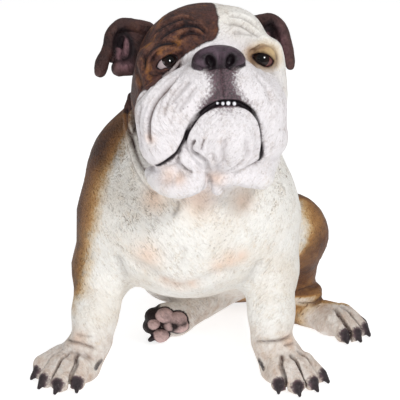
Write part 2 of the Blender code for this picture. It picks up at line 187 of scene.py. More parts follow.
def toe(size, i):  # its joints on one line out of the heel: how far back, how spread, how high
    heel = np.array(size["heel"])
    point = np.array(size["claws"][i]) * (size["outward"], 1)
    length = np.linalg.norm(point - heel)
    out = (point - heel) / length
    joints = [
        (length - 1.0, 1.0, 2.7),  # root
        (4.0, 1.2, 2.75),  # knuckle
        (1.4, 1.0, 1.16),  # tip
        (0.95, 1.0, 1.35),  # quick of the claw
        (0.0, 1.0, 0.45),  # its point
    ]
    spots = []
    for back, wide, height in joints:
        spot = heel + out * (length - back)
        spots.append((spot[0] * wide, spot[1], height))
    return spots


def toes(size, radii):
    forms = []
    for i in range(4):
        root, knuckle, tip, _, _ = toe(size, i)
        forms.append((Limb(size["place"], root, knuckle, radii[0], radii[1]), 0.5))
        forms.append((Limb(size["place"], knuckle, tip, radii[1], radii[2]), 0.2))
    return forms


def clawForms(size):
    claws = []
    for i in range(4):
        quick, point = toe(size, i)[3:]
        claws.append((Limb(size["place"], quick, point, 0.72, 0.26), 0.1))
    return claws


def paw(size):
    place = size["place"]
    forms = [
        (Ball(place, (0.0, -1.2, 2.6), (3.3, 3.4, 3.0)), 1.5),
        (Ball(place, (0.0, -2.6, 1.2), (3.8, 3.1, 1.7)), 1.0),
    ]
    return forms + toes(size, (1.5, 1.18, 1.08))


def dewClaw(size):
    quick = (-size["outward"] * 3.1, -0.8, 2.9)
    point = (-size["outward"] * 3.5, -1.9, 2.1)
    return [(Limb(size["place"], quick, point, 0.55, 0.25), 0.2)]


def hindFoot(size):
    place = size["place"]
    forms = [
        (Limb(place, (0.0, 0.0, 2.0), (0.0, -8.2, 2.0), 2.4, 2.3), 1.2),
        (Ball(place, (-0.2, -9.0, 1.6), (3.3, 3.0, 1.9)), 1.0),
    ]
    return forms + toes(size, (1.5, 1.22, 1.1))


hindLegs = [
    (Limb(body, (9.0, 24.0, 11.5), (13.8, 10.0, 16.2), 8.0, 4.8), 3.0),
    (Ball(body, (13.5, 9.0, 16.8), (3.9, 4.8, 5.0)), 3.0),  # left knee
    (Limb(body, (14.1, 9.8, 15.4), (14.2, 15.0, 5.6), 4.0, 3.1), 2.0),
    (Ball(body, (15.2, 14.2, 5.3), (3.4, 3.5, 1.9)), 0.7),  # fold over the ankle
    (Ball(body, (13.3, 17.0, 2.9), (2.9, 3.3, 3.2)), 1.5),
    (Limb(body, (2.0, 24.0, 9.4), (-3.6, 13.4, 9.8), 7.4, 5.2), 3.0),
    (Ball(body, (-4.4, 12.0, 9.8), (4.8, 4.6, 4.7)), 2.0),  # right knee
    (Limb(body, (-3.0, 12.6, 7.8), (4.6, 14.6, 6.6), 3.4, 2.6), 1.0),
    (Limb(body, (5.0, 13.8, 6.4), (-2.0, 9.4, 4.0), 2.4, 2.6), 0.8),
]

# The right hind paw lies between the front legs and shows its sole.
solePaw = [
    (Ball(body, (-4.05, 7.6, 3.3), (3.3, 1.7, 2.7)), 0.8),
    (Ball(body, (-5.25, 7.2, 4.7), (1.5, 1.5, 1.25)), 0.4),
    (Ball(body, (-6.95, 7.3, 3.9), (1.3, 1.4, 1.3)), 0.4),
    (Ball(body, (-7.25, 7.3, 2.4), (1.3, 1.4, 1.2)), 0.4),
    (Ball(body, (-5.85, 7.2, 1.2), (1.5, 1.5, 1.15)), 0.4),
]
solePads = [
    (Ball(body, (-5.25, 6.0, 4.55), (1.25, 0.75, 1.1)), 0.05),
    (Ball(body, (-6.85, 6.1, 3.1), (0.85, 0.7, 0.75)), 0.05),
    (Ball(body, (-5.8, 6.0, 1.25), (1.2, 0.75, 1.0)), 0.05),
    (Ball(body, (-3.3, 6.15, 3.7), (1.3, 0.85, 1.3)), 0.05),
    (Ball(body, (-4.3, 6.15, 3.0), (1.1, 0.8, 0.85)), 0.6),
    (Ball(body, (-3.1, 6.15, 2.8), (1.35, 0.85, 1.0)), 0.6),
]
soleClaws = [(Limb(body, (-6.85, 6.3, 1.0), (-7.4, 5.7, 0.8), 0.5, 0.35), 0.1)]


# Head, in the face's own placing: +Z to the crown, -Y out of the nose.
def headSide(side):
    return [
        (Ball(face, (side * 7.2, -0.8, -2.0), (3.4, 4.8, 5.2)), 2.0),
        (Ball(face, (side * 3.4, -3.4, 5.4), (3.9, 3.5, 3.7)), 2.0),
        (Ball(face, (side * 6.6, -5.0, 4.2), (2.7, 1.7, 1.2), (0, side * 20, 0)), 1.4),
        (Ball(face, (side * 8.7, -3.6, 1.2), (1.3, 2.3, 3.2)), 1.4),
        (Ball(face, (side * 5.6, -4.6, -1.2), (3.6, 3.4, 2.6)), 1.4),
    ]


lips = [
    (Limb(face, (-2.4, -8.8, -1.8), (-6.7, -8.0, -4.4), 3.3, 3.95), 2.0),
    (Limb(face, (-6.7, -8.0, -4.4), (-7.2, -7.1, -8.1), 3.95, 3.45), 1.5),
    (Limb(face, (2.4, -8.8, -1.8), (5.0, -8.0, -4.2), 3.3, 3.6), 2.0),
    (Limb(face, (5.0, -8.0, -4.2), (5.7, -7.0, -8.3), 3.6, 3.4), 1.5),
]


earSizes = {
    "right": {
        "rim": [
            (-6.9, 5.6, 8.0), (-8.0, 5.0, 8.3), (-9.5, 4.5, 8.6), (-10.7, 4.2, 8.6),
            (-11.7, 4.1, 8.0), (-12.35, 4.2, 7.05), (-12.6, 4.3, 5.8), (-13.0, 4.3, 4.8),
            (-13.65, 4.2, 3.7), (-14.05, 4.1, 2.4),
        ],
        "radii": [0.95, 0.8, 0.8, 0.8, 0.72, 0.72, 0.72, 0.72, 0.85, 0.8],
        "flap": ((-9.8, 6.2, 5.6), (3.0, 2.0, 3.0)),
        "lobe": ((-11.3, 5.0, 2.8), (-9.2, 5.6, 2.9)),
        "hollow": ((-10.6, 3.5, 5.6), (1.25, 2.5, 2.3)),
        "folds": [((-10.0, 5.4, 6.9), (-10.3, 5.5, 4.5)), ((-11.2, 5.2, 5.3), (-11.4, 5.2, 4.1))],
    },
    "left": {
        "rim": [
            (7.5, 4.8, 7.8), (8.9, 4.4, 8.1), (10.0, 4.2, 8.2), (10.9, 4.1, 7.6),
            (11.6, 4.2, 6.5), (12.0, 4.3, 4.9), (12.2, 4.2, 3.2), (12.35, 4.1, 1.6),
        ],
        "radii": [1.0, 0.8, 0.75, 0.75, 0.75, 0.75, 0.75, 0.6],
        "flap": ((9.3, 6.2, 5.0), (2.9, 2.0, 3.4)),
        "lobe": ((10.4, 5.4, 2.4), (9.0, 6.0, 2.6)),
        "hollow": ((9.9, 3.4, 5.2), (1.1, 2.3, 2.4)),
        "folds": [((9.6, 5.4, 6.2), (9.8, 5.4, 4.4))],
    },
}


def ear(size):
    forms = [(Ball(face, *size["flap"]), 1.0)]
    forms += chain(face, size["rim"], size["radii"], 0.35, 0.8, steps=3)
    return forms + [(Limb(face, *size["lobe"], 1.15, 1.2), 0.5)]


def earHollow(size):
    return [(Ball(face, *size["hollow"]), 0.4)]


def earFolds(size):
    return [(Limb(face, start, end, 0.34, 0.42), 0.3) for start, end in size["folds"]]


eyeSizes = {
    "right": {
        "centre": (-5.97, -5.4, 2.24),
        "white": (0.42, 0.34, 0.35),
        "gaze": (0.28, -0.79, 0.54),
        "upper": [
            (-7.75, -5.9, 1.9), (-7.3, -6.5, 2.85), (-6.5, -6.75, 3.4), (-5.5, -6.5, 3.65),
            (-4.5, -5.9, 3.3),
        ],
        "lower": [
            (-7.7, -5.6, 1.75), (-7.1, -6.2, 1.1), (-6.25, -6.75, 1.1), (-5.45, -6.95, 1.55),
            (-4.65, -6.6, 2.5),
        ],
    },
    "left": {
        "centre": (6.68, -5.4, 1.9),
        "white": (0.11, 0.032, 0.028),
        "gaze": (-0.12, -0.92, 0.36),
        "upper": [
            (5.1, -5.9, 2.8), (5.9, -6.55, 3.1), (6.8, -6.8, 3.05), (7.6, -6.75, 2.5),
            (8.15, -6.3, 1.7),
        ],
        "lower": [
            (5.15, -6.3, 2.0), (5.85, -6.7, 1.0), (6.8, -6.6, 0.55), (7.65, -6.35, 0.8),
            (8.15, -6.2, 1.5),
        ],
    },
}


eyeBallRadius = 1.62
lidSizes = {
    "socket": 1.45,
    "upper": [0.3, 0.44, 0.5, 0.44, 0.3],
    "lower": [0.26, 0.34, 0.36, 0.34, 0.28],
}


def eyeLids(size):
    forms = [(Ball(face, size["centre"], [lidSizes["socket"]] * 3), 0.1)]
    for lid in ("upper", "lower"):
        forms += chain(face, size[lid], lidSizes[lid], 0.15, 0.2, steps=2)
    return forms


nose = [
    (Ball(face, (-0.1, -10.9, 2.0), (3.3, 2.35, 1.8)), 0.5),
    (Ball(face, (-2.25, -11.35, 1.6), (1.25, 1.5, 1.0)), 0.5),
    (Ball(face, (2.15, -11.35, 1.6), (1.25, 1.5, 1.0)), 0.5),
]
skull = (
    [
        (Ball(face, (0.0, 1.0, 2.1), (9.3, 9.0, 8.5)), 2.0),
        (Ball(face, (0.0, -2.4, -6.6), (8.4, 6.6, 6.0)), 3.0),
    ]
    + headSide(-1)
    + headSide(1)
    + [
        (Ball(face, (0.0, -7.2, 0.6), (4.0, 4.6, 3.0)), 1.5),
        (Ball(face, (0.0, -8.4, -2.6), (6.0, 4.9, 4.0)), 1.5),
    ]
    + lips
    + [(Ball(face, (0.0, -10.4, -0.9), (2.8, 2.5, 2.6)), 1.0)]
)
dewlapRight = [
    (-9.0, -4.4, -12.0), (-8.3, -6.0, -13.4), (-7.0, -7.3, -14.2), (-5.3, -7.8, -14.1),
    (-3.8, -7.6, -13.4),
]
chin = (
    [
        (Ball(face, (0.2, -8.9, -7.2), (5.4, 5.0, 4.8)), 0.3),
        (Ball(face, (0.2, -6.6, -10.0), (5.8, 4.8, 3.0)), 1.2),
        (Ball(face, (-4.9, -5.2, -12.3), (3.9, 3.4, 2.7)), 0.8),
        (Ball(face, (4.0, -5.2, -12.3), (2.9, 3.4, 2.6)), 0.8),
        (Limb(face, (-4.9, -9.0, -10.2), (-3.9, -8.3, -12.6), 1.15, 1.45), 0.4),
    ]
    + chain(face, dewlapRight, [0.9, 1.0, 1.1, 1.35, 1.65], 0.5, steps=2)
    + [
        (Limb(face, (1.9, -7.1, -13.1), (5.2, -6.7, -13.5), 1.3, 1.65), 0.5),
        (Limb(face, (-0.9, -7.8, -12.3), (-0.7, -6.3, -14.8), 0.9, 0.75), 0.5),
        (Ball(face, (0.2, -7.5, -13.0), (1.7, 1.3, 1.5)), 0.5),
        (Limb(face, (5.2, -6.7, -13.3), (6.9, -5.4, -11.2), 1.5, 1.3), 0.8),
    ]
)
neckPath = [
    (-9.3, -1.4, 39.8), (-9.5, -2.9, 37.3), (-9.2, -4.9, 34.9), (-8.4, -6.7, 32.2),
    (-7.0, -8.0, 30.4), (-5.0, -8.9, 29.0), (-2.5, -9.6, 28.3),
]
neckFold = chain(body, neckPath, [0.7, 0.9, 0.95, 1.05, 1.25, 1.35, 1.2], 0.6, steps=2)
nostrils = [
    (Ball(face, (-1.33, -13.3, 1.5), (0.58, 1.5, 1.02), (0, -22, 0)), 0.25),
    (Ball(face, (1.2, -13.3, 1.45), (0.58, 1.5, 1.02), (0, 22, 0)), 0.25),
]
sockets = [
    (Ball(face, (-6.0, -7.5, 2.2), (2.0, 1.9, 1.3)), 0.8),
    (Ball(face, (6.7, -7.5, 1.9), (1.9, 1.9, 1.3)), 0.8),
]
frontPaws = [pawSizes["right"], pawSizes["left"]]
toeClaws = sum([clawForms(size) for size in pawSizes.values()], soleClaws)
claws = sum([dewClaw(size) for size in frontPaws], toeClaws)
earForms = ear(earSizes["right"]) + ear(earSizes["left"])
hollows = nostrils + earHollow(earSizes["right"]) + earHollow(earSizes["left"])

mouth = [
    (-8.7, -7.9, -11.2), (-8.0, -8.8, -11.0), (-7.0, -9.7, -10.4), (-5.9, -10.0, -9.5),
    (-5.0, -10.5, -7.9), (-4.1, -11.7, -6.2), (-2.8, -12.3, -4.8), (-1.3, -13.0, -4.0),
    (0.2, -13.1, -3.8), (1.8, -12.9, -4.0), (3.3, -12.3, -4.8), (4.3, -12.0, -6.1),
    (4.7, -11.6, -7.7), (4.8, -10.4, -9.4), (4.9, -9.4, -11.1), (4.4, -9.4, -11.8),
]


# Blending. A field below zero inside, in centimetres.
def clearance(form, points):  # a quick lower limit of the distance
    return np.linalg.norm(points - form.middle, axis=1) - form.reach


def joined(solid, forms, points):
    for form, soft in forms:
        close = clearance(form, points) < np.minimum(solid, 60.0) + soft
        if close.any():
            there, fresh = solid[close], form.distance(points[close])
            overlap = np.maximum(soft - np.abs(there - fresh), 0.0) / soft
            solid[close] = np.minimum(there, fresh) - overlap**2 * soft / 4
    return solid


def hollowed(solid, forms, points):
    for form, soft in forms:
        close = clearance(form, points) < soft + 1.0
        if close.any():
            there, fresh = solid[close], -form.distance(points[close])
            overlap = np.maximum(soft - np.abs(there - fresh), 0.0) / soft
            solid[close] = np.maximum(there, fresh) + overlap**2 * soft / 4
    return solid


def distanceTo(forms, points):  # right up to 3 cm, far away beyond
    away = np.full(len(points), 99.0)
    for form, _ in forms:
        close = clearance(form, points) < 3.0
        away[close] = np.minimum(away[close], form.distance(points[close]))
    return away


outerKnuckle = Limb(pawSizes["right"]["place"], (-2.4, -2.7, 2.7), (-3.6, -5.0, 1.8), 1.6, 1.5)
bodyForms = [trunk, frontLegs, hindLegs, hindFoot(pawSizes["hind"])]
bodyForms += [paw(size) for size in frontPaws]
bodyForms += [[(outerKnuckle, 0.5)], solePaw, solePads, neckFold, claws]
lids = eyeLids(eyeSizes["right"]) + eyeLids(eyeSizes["left"])
earInsides = earFolds(earSizes["right"]) + earFolds(earSizes["left"])


def figure(points):
    solid = np.full(len(points), 1e3)
    for forms in bodyForms + [skull, nose, earForms]:
        solid = joined(solid, forms, points)
    solid = hollowed(solid, sockets, points)
    solid = joined(joined(solid, lids, points), chin, points)
    return joined(hollowed(solid, hollows, points), earInsides, points)


# Strokes. Each is a curve on the skin. Its depth carves in, and a negative depth raises.
def nearLine(points, line, reach):  # which points are close, how far off and how far along
    middle = line.mean(axis=0)
    radius = np.linalg.norm(line - middle, axis=1).max() + reach
    close = np.nonzero(np.linalg.norm(points - middle, axis=1) < radius)[0]
    best = np.full(len(close), 99.0)
    share = np.zeros(len(close))
    for i in range(len(line) - 1):
        along = line[i + 1] - line[i]
        t = np.clip((points[close] - line[i]) @ along / max(along @ along, 1e-9), 0.0, 1.0)
        away = np.linalg.norm(points[close] - line[i] - t[:, None] * along, axis=1)
        better = away < best
        best[better] = away[better]
        share[better] = (i + t[better]) / (len(line) - 1)
    return close, best, share


def settled(points, rounds):
    for _ in range(rounds):  # down the slope of the field onto the figure's smooth surface
        here = figure(points)
        ahead = [figure(points + step) for step in np.eye(3) * 0.05]
        slope = np.array([there - here for there in ahead]).T / 0.05
        points = points - slope * (here / np.maximum((slope**2).sum(axis=1), 0.2))[:, None]
    return points


def onSkin(place, path):
    return settled(curve([place @ Vector(point) for point in path]), 4)


# place, depth, width, how much dark wash and painted shade lies in it, then the curve
faceStrokes = [
    (0.50, 0.26, 1.0, mouth),
    (0.28, 0.20, 0.9, [
        (0.0, -12.9, 2.9), (-0.1, -13.2, 1.7), (-0.1, -12.7, 0.4), (-0.1, -13.2, -0.9),
        (-0.1, -13.3, -2.2), (0.0, -13.2, -3.5),
    ]),
    (0.25, 0.20, 0.9, [
        (-1.1, -12.5, 0.7), (-2.0, -12.3, 0.6), (-2.9, -12.3, 1.1), (-3.5, -11.4, 1.6),
    ]),
    (0.25, 0.20, 0.9, [
        (0.9, -12.6, 0.6), (1.8, -12.4, 0.5), (2.7, -12.2, 0.8), (3.3, -11.6, 1.4),
    ]),
    # flews
    (0.30, 0.28, 0.8, [
        (-3.6, -7.2, 4.0), (-5.0, -6.9, 2.4), (-6.9, -7.7, 0.5), (-9.3, -9.2, -1.7),
        (-10.4, -8.0, -3.2),
    ]),
    (-0.30, 0.50, 0.0, [
        (-4.4, -8.0, 2.3), (-6.6, -9.3, 0.0), (-8.8, -10.3, -2.2), (-9.9, -9.6, -4.2),
    ]),
    (0.50, 0.27, 0.9, [
        (-4.9, -10.0, 0.7), (-6.4, -10.9, -0.7), (-7.5, -11.4, -1.9), (-8.6, -11.5, -3.2),
        (-9.2, -11.1, -4.6), (-9.4, -10.5, -5.9), (-9.4, -9.9, -7.3), (-9.3, -9.6, -8.4),
    ]),
    (0.30, 0.28, 0.5, [
        (-9.8, -10.2, -3.1), (-10.3, -9.4, -4.7), (-10.6, -8.6, -6.6), (-10.4, -7.8, -8.7),
    ]),
    (0.22, 0.28, 0.4, [(-4.0, -12.0, -0.6), (-5.5, -12.0, -2.0), (-6.6, -12.2, -3.5)]),
    (0.20, 0.26, 0.4, [(-3.4, -12.6, -1.4), (-4.8, -12.4, -3.1), (-5.9, -12.2, -4.8)]),
    (0.12, 0.16, 0.5, [
        (-5.6, -10.6, -0.6), (-6.7, -11.2, -1.6), (-7.7, -11.6, -3.0), (-8.2, -11.5, -4.6),
    ]),
    (0.12, 0.16, 0.5, [
        (-4.6, -11.4, -0.8), (-6.0, -11.6, -2.0), (-7.2, -11.9, -3.6), (-7.7, -11.6, -5.4),
    ]),
    (0.10, 0.16, 0.4, [(-5.0, -12.4, -2.6), (-6.3, -12.2, -4.2), (-7.0, -11.6, -6.4)]),
    (0.25, 0.30, 0.3, [
        (5.3, -7.2, 0.9), (6.6, -8.4, -0.8), (8.0, -8.6, -2.6), (8.6, -8.6, -5.0),
    ]),
    (0.16, 0.32, 0.2, [(4.2, -11.0, -0.8), (5.4, -10.8, -2.6), (6.0, -10.8, -4.6)]),
    # brows and forehead
    (0.40, 0.26, 1.0, [
        (-9.2, -5.8, 1.3), (-9.0, -5.8, 2.3), (-8.7, -6.1, 3.4), (-7.8, -6.4, 4.3),
        (-6.8, -6.7, 4.7), (-5.5, -7.0, 4.7), (-4.2, -7.2, 4.3),
    ]),
    (-0.26, 0.36, 0.0, [
        (-8.6, -5.9, 1.6), (-8.3, -6.2, 3.0), (-7.5, -6.6, 3.8), (-6.4, -6.8, 4.1),
        (-5.3, -7.0, 4.1),
    ]),
    (0.18, 0.26, 0.6, [
        (-8.7, -6.0, 1.2), (-7.7, -6.3, 0.7), (-6.8, -6.9, 0.6), (-5.9, -7.4, 1.0),
    ]),
    (-0.26, 0.36, 0.0, [
        (4.5, -7.1, 3.5), (5.5, -6.9, 3.8), (6.7, -7.0, 3.7), (7.7, -6.9, 3.1), (8.6, -6.0, 2.2),
    ]),
    (0.24, 0.28, 0.15, [
        (3.9, -7.3, 3.7), (5.4, -7.0, 4.4), (6.9, -6.7, 4.4), (8.3, -6.3, 3.7), (9.1, -5.8, 2.4),
    ]),
    (0.20, 0.18, 0.7, [
        (4.9, -7.2, 2.7), (5.6, -7.0, 3.4), (6.6, -7.0, 3.55), (7.5, -6.8, 3.2), (8.2, -6.4, 2.5),
    ]),
    (0.16, 0.26, 0.4, [(4.9, -8.4, 0.5), (5.9, -7.6, -0.1), (7.0, -7.0, -0.3), (8.2, -6.3, 0.2)]),
    (0.38, 0.26, 1.0, [
        (-7.6, -3.9, 6.1), (-6.6, -5.1, 7.0), (-5.2, -5.9, 7.6), (-3.5, -6.2, 7.9),
        (-1.8, -6.5, 7.5),
    ]),
    (0.42, 0.24, 1.0, [
        (-7.1, -6.3, 5.0), (-6.0, -6.3, 6.0), (-4.5, -6.7, 6.7), (-2.9, -6.9, 7.0),
        (-1.5, -7.0, 6.5), (-0.7, -7.4, 5.5),
    ]),
    (0.34, 0.22, 0.7, [
        (-4.8, -7.1, 5.0), (-3.7, -7.2, 5.7), (-2.6, -7.3, 5.9), (-1.4, -7.4, 5.4),
    ]),
    (0.36, 0.30, 0.5, [(2.4, -6.2, 7.9), (4.0, -6.3, 7.7), (5.6, -6.1, 6.8), (6.8, -6.0, 5.6)]),
    (0.36, 0.30, 0.5, [(2.0, -6.9, 6.8), (3.5, -6.9, 6.7), (5.1, -6.8, 5.7), (6.6, -6.8, 4.8)]),
    (0.28, 0.26, 0.4, [(2.6, -7.4, 5.5), (4.2, -7.1, 5.4), (5.8, -6.9, 4.9)]),
    (0.20, 0.40, 0.6, [
        (-9.6, -3.0, 3.5), (-9.9, -4.5, 1.4), (-9.6, -5.3, -0.2), (-9.7, -5.2, -1.8),
        (-10.1, -3.0, -3.2),
    ]),
    # chin and dewlap
    (0.40, 0.34, 0.12, [
        (0.0, -13.8, -8.1), (-0.5, -13.4, -9.1), (-0.6, -12.8, -10.2), (-0.5, -11.7, -11.2),
        (-1.1, -10.6, -11.9), (-1.0, -8.6, -12.7),
    ]),
    (0.36, 0.34, 0.10, [
        (2.4, -13.3, -8.2), (2.7, -12.6, -9.5), (2.8, -11.5, -10.7), (2.2, -11.0, -11.4),
        (1.4, -10.3, -12.1), (0.2, -9.1, -12.6),
    ]),
    (0.50, 0.18, 1.0, [
        (-3.9, -12.0, -8.2), (-4.3, -11.0, -8.9), (-4.2, -10.7, -9.6), (-3.6, -10.9, -10.2),
    ]),
    (0.45, 0.32, 0.25, [
        (-4.2, -10.7, -9.4), (-3.2, -11.0, -10.5), (-2.6, -11.0, -11.1), (-2.2, -10.1, -11.9),
        (-1.9, -8.9, -12.8),
    ]),
    (0.22, 0.28, 0.10, [(-1.9, -12.4, -10.0), (-1.7, -11.6, -11.0), (-1.5, -10.4, -11.8)]),
    (0.22, 0.28, 0.10, [(3.9, -12.0, -9.4), (4.0, -11.0, -10.6), (3.3, -10.2, -11.6)]),
    (0.22, 0.14, 1.0, [(-2.9, -12.9, -8.2), (-3.1, -12.4, -8.8), (-3.3, -11.8, -9.6)]),
    (0.40, 0.27, 0.7, [
        (-6.0, -9.8, -9.9), (-5.8, -9.2, -10.8), (-4.9, -9.5, -12.0), (-4.1, -9.5, -12.3),
    ]),
    (0.30, 0.24, 0.7, [(-2.3, -8.7, -12.8), (-2.7, -8.3, -14.2), (-3.2, -7.4, -15.1)]),
    (0.30, 0.24, 0.7, [(0.4, -7.4, -13.0), (0.6, -7.0, -14.2), (1.6, -6.6, -15.0)]),
    (0.26, 0.28, 0.5, [(4.9, -8.8, -11.6), (3.4, -9.2, -12.0), (1.8, -9.2, -12.2)]),
]
bodyStrokes = [
    # neck and chest
    (0.26, 0.26, 0.8, [
        (-8.7, -3.9, 37.0), (-9.1, -5.8, 35.1), (-8.4, -7.5, 32.9), (-7.2, -8.9, 31.4),
        (-5.4, -10.4, 30.2),
    ]),
    (0.36, 0.26, 1.0, [
        (-10.0, -2.4, 39.2), (-9.8, -4.3, 36.5), (-9.2, -5.8, 35.1), (-8.6, -6.8, 33.4),
    ]),
    (0.22, 0.34, 0.5, [
        (-10.5, -3.1, 37.8), (-10.1, -5.5, 34.7), (-8.9, -7.7, 31.6), (-7.2, -9.1, 29.4),
        (-5.3, -10.5, 28.3),
    ]),
    (0.24, 0.34, 0.5, [(-3.0, -11.2, 28.1), (-3.0, -11.2, 27.0), (-3.8, -11.2, 25.6)]),
    (0.20, 0.50, 0.1, [(-2.4, -11.2, 21.7), (-2.4, -10.9, 20.0), (-2.5, -10.4, 18.1)]),
    (0.36, 0.60, 0.12, [
        (-11.6, -7.3, 18.9), (-11.1, -7.3, 17.8), (-10.7, -6.8, 16.5), (-9.9, -5.8, 14.8),
    ]),
    (0.34, 0.55, 0.1, [
        (8.3, -7.1, 18.3), (7.6, -6.6, 16.4), (6.8, -5.7, 14.7), (6.2, -5.0, 13.7),
    ]),
    (0.30, 0.70, 0.1, [
        (-10.2, -7.6, 17.9), (-8.8, -8.8, 18.3), (-6.6, -9.3, 17.4), (-4.3, -8.9, 15.3),
        (-2.2, -8.9, 14.9), (0.0, -9.4, 15.8), (2.1, -9.5, 17.0), (4.4, -8.6, 17.0),
        (6.8, -6.2, 15.3),
    ]),
    # wrists and ankle
    (0.30, 0.22, 0.7, [
        (-18.7, -5.2, 5.4), (-18.0, -6.4, 5.6), (-17.1, -7.4, 5.8), (-15.7, -8.0, 5.5),
        (-14.4, -7.9, 4.9),
    ]),
    (0.16, 0.22, 0.4, [(-17.6, -6.6, 6.8), (-16.3, -7.4, 6.9), (-14.9, -7.6, 6.8)]),
    (0.18, 0.30, 0.4, [(-18.6, -7.3, 4.5), (-16.8, -8.1, 4.3), (-15.0, -7.9, 3.4)]),
    (0.30, 0.20, 0.8, [(7.7, -6.7, 5.7), (9.8, -7.8, 6.2), (11.5, -7.5, 6.3), (13.0, -5.9, 6.5)]),
    (0.22, 0.20, 0.7, [(11.6, -7.6, 5.4), (12.4, -7.4, 5.5), (13.4, -6.3, 5.4)]),
    (0.34, 0.30, 0.8, [(14.6, 10.6, 6.7), (16.3, 11.4, 6.9), (18.1, 13.8, 6.5)]),
    (0.30, 0.28, 0.7, [(14.6, 10.9, 4.6), (16.6, 11.4, 4.3), (18.6, 13.4, 4.2)]),
]
strokes = [(face, *stroke) for stroke in faceStrokes]
strokes += [(body, *stroke) for stroke in bodyStrokes]

# A toe gap's depth and width, how much dark wash and painted shade lies in it, and its heights
gapSizes = {"depth": 0.60, "width": 0.24, "washAndShade": 1.0, "heights": (4.2, 3.6, 1.8, 0.3)}


def toeGaps(size, gap):  # the dark grooves between the toes of a paw
    gaps = []
    for i in range(3):
        pairs = list(zip(toe(size, i), toe(size, i + 1)))[:3]
        root, knuckle, tip = [[(p + q) / 2 for p, q in zip(*pair)][:2] for pair in pairs]
        top = [root[k] + (knuckle[k] - root[k]) * 0.6 for k in range(2)]
        path = [(*spot, height) for spot, height in zip((top, knuckle, tip, tip), gap["heights"])]
        gaps.append((size["place"], gap["depth"], gap["width"], gap["washAndShade"], path))
    return gaps


strokes += [gap for size in pawSizes.values() for gap in toeGaps(size, gapSizes)]
drawn = [(onSkin(place, path), *settings) for place, *settings, path in strokes]

strokeSizes = {
    "fade": 0.12,  # share of the length over which an end runs out
    "swell": 0.38,  # how far the skin swells beside a cut, as a share of its depth
    "ridgeHighlightDepth": 0.4,  # a cut this deep has a full painted highlight on the crest beside it
    "swellAway": 2.3,  # this and the rest are shares of the width
    "swellWidth": 1.1,
    # the dark wash and painted shade in a cut, then the broader painted shade beside it
    "washAndShadeWidth": 0.5,
    "shadeWidth": 1.5,
    "reach": 4,
}


def relief(points, sizes=strokeSizes):
    sink, washAndShade, shade, crest = np.zeros((4, len(points)))
    for line, depth, width, creaseWashAndShade in drawn:
        close, away, share = nearLine(points, line, width * sizes["reach"])
        ends = np.clip(np.minimum(share, 1.0 - share) / sizes["fade"], 0.0, 1.0)
        beside = (away - sizes["swellAway"] * width) / (sizes["swellWidth"] * width)
        swell = sizes["swell"] * np.exp(-(beside**2))
        sink[close] += depth * (np.exp(-((away / width) ** 2)) - swell) * ends
        # a narrow layer of dark wash and painted shade in the cut, and a broad one of painted shade
        # beside it
        for layer, wide in ((washAndShade, sizes["washAndShadeWidth"]), (shade, sizes["shadeWidth"])):
            laid = creaseWashAndShade * np.exp(-((away / (width * wide)) ** 2)) * ends
            layer[close] = np.maximum(layer[close], laid)
        # a painted highlight on the swollen crest beside the cut
        ridgeHighlight = swell / sizes["swell"] * abs(depth) / sizes["ridgeHighlightDepth"] * ends
        crest[close] = np.maximum(crest[close], ridgeHighlight)
    return sink, washAndShade, shade, crest


furSizes = {"across": 1.7, "along": 0.55, "slant": 0.6, "height": 0.05}


def tufts(points, sizes):  # the lie of the carved fur, falling away to both sides of the chest
    cosine, sine = math.cos(sizes["slant"]), math.sin(sizes["slant"])
    x, y, z = np.abs(points[:, 0]), points[:, 1], points[:, 2]
    across = (x * cosine + z * sine) * sizes["across"]
    along = (z * cosine - x * sine) * sizes["along"]
    spots = zip(across.tolist(), (y * sizes["across"]).tolist(), along.tolist())
    return np.array([noiseField.noise(spot) for spot in spots]) * sizes["height"]


# Skin
def added(name, data):
    obj = bpy.data.objects.new(name, data)
    bpy.context.scene.collection.objects.link(obj)
    return obj


def builtObject(name, built):
    data = bpy.data.meshes.new(name)
    built.to_mesh(data)
    built.free()
    return added(name, data)


def applied(obj):
    evaluated = obj.evaluated_get(bpy.context.evaluated_depsgraph_get())
    obj.data = bpy.data.meshes.new_from_object(evaluated)
    obj.modifiers.remove(obj.modifiers[0])


def skinned(obj, voxel):
    skin = obj.modifiers.new("skin", "REMESH")
    skin.mode = "VOXEL"
    skin.voxel_size = voxel
    applied(obj)


def positions(mesh):
    points = np.empty(len(mesh.vertices) * 3)
    mesh.vertices.foreach_get("co", points)
    return points.reshape(-1, 3) / cm


def normals(mesh):
    out = np.empty(len(mesh.vertices) * 3)
    mesh.vertex_normals.foreach_get("vector", out)
    return out.reshape(-1, 3)


def moved(mesh, points):
    mesh.vertices.foreach_set("co", (points * cm).ravel())
    mesh.update()


def pulled(mesh, rounds):
    for _ in range(rounds):
        points = positions(mesh)
        gap = np.clip(figure(points), -0.6, 0.6)
        moved(mesh, points - normals(mesh) * gap[:, None])


def thinned(obj, triangles, closeness, factor):  # least where closeness is 1
    group = obj.vertex_groups.new(name="fine")
    for level in range(11):
        picked = np.nonzero(np.round(closeness * 10) == level)[0]
        group.add(picked.tolist(), 1.0 - level * 0.09, "REPLACE")
    faces = sum(len(polygon.vertices) - 2 for polygon in obj.data.polygons)
    thin = obj.modifiers.new("thin", "DECIMATE")
    thin.ratio = triangles / faces
    thin.vertex_group = group.name
    thin.vertex_group_factor = factor
    applied(obj)
    obj.vertex_groups.clear()


